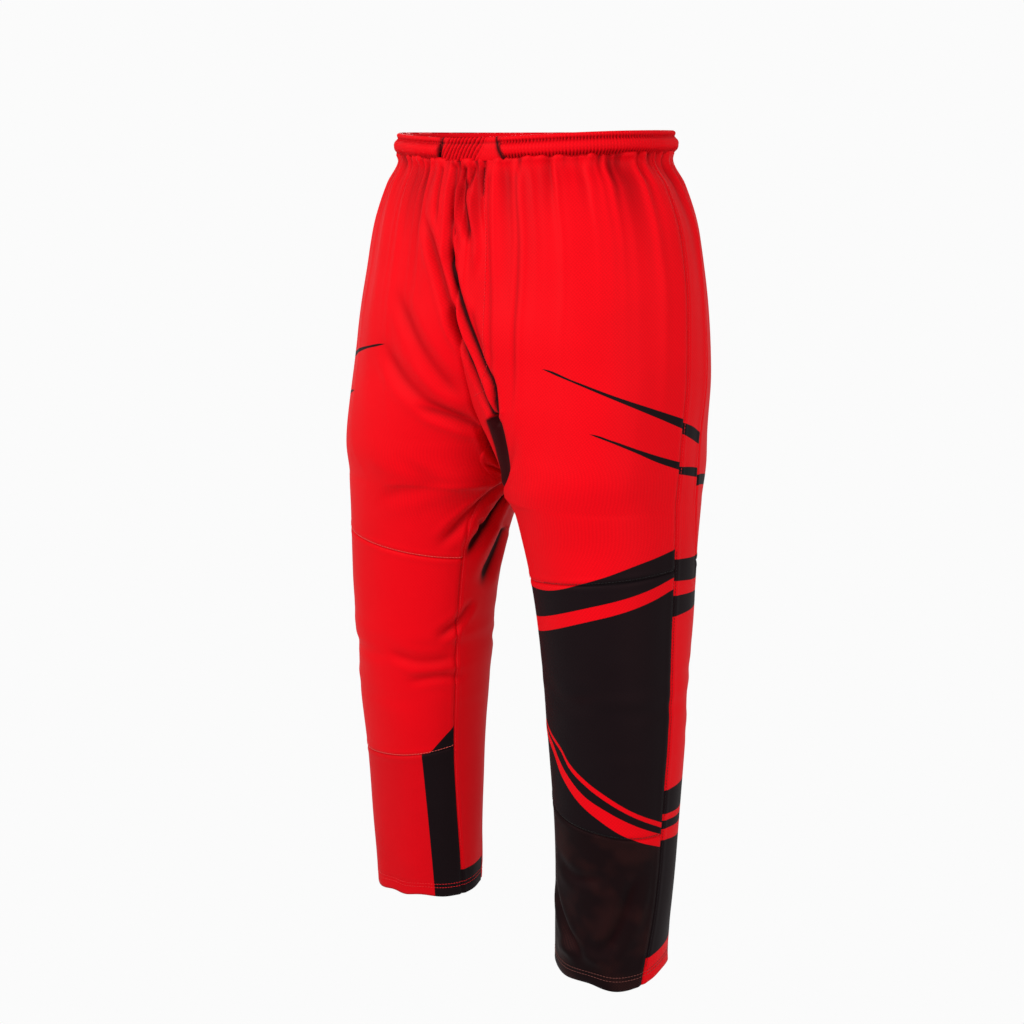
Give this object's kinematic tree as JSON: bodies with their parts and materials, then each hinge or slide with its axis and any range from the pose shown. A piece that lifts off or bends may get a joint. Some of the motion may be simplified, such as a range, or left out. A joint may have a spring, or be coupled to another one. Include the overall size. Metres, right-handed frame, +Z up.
{
  "type": "hockey pants",
  "caption": "Loose pull-on over-pants with a gathered elastic waistband, sewn from panels: fronts, backs, knees, shins, calves, side strips and inner-leg gussets.",
  "frame": {"origin": "centre of the waist opening, level with the top of the waistband", "axes": "+Z up from the hems to the waist, -Y is the front, +X is the wearer's left"},
  "size_m": [0.5003, 0.3066, 1.02],
  "materials": {
    "red_jersey": "smooth polyester jersey, satin sheen",
    "black_jersey": "smooth polyester jersey, matte",
    "black_mesh": "open knitted mesh, matte",
    "red_mesh": "open knitted mesh, satin",
    "white_elastic": "woven elastic, matte"
  },
  "bodies": {
    "root": {"back_panel_left": "red_jersey", "back_panel_right": "red_jersey", "calf_panel_left": "black_jersey", "calf_panel_right": "red_jersey", "fly_facing_left": "red_jersey", "fly_guard_right": "red_jersey", "front_panel_left": "red_jersey", "front_panel_right": "red_jersey", "inner_panel_left": "red_jersey", "inner_panel_right": "red_jersey", "knee_panel_left": "black_jersey", "knee_panel_right": "red_jersey", "shin_panel_left": "black_mesh", "shin_panel_right": "red_mesh", "side_panel_left": "red_jersey", "side_panel_right": "red_jersey", "waist_elastic": "white_elastic", "waistband_front": "red_jersey", "waistband_left": "red_jersey", "waistband_right": "red_jersey"}
  },
  "joints": []
}
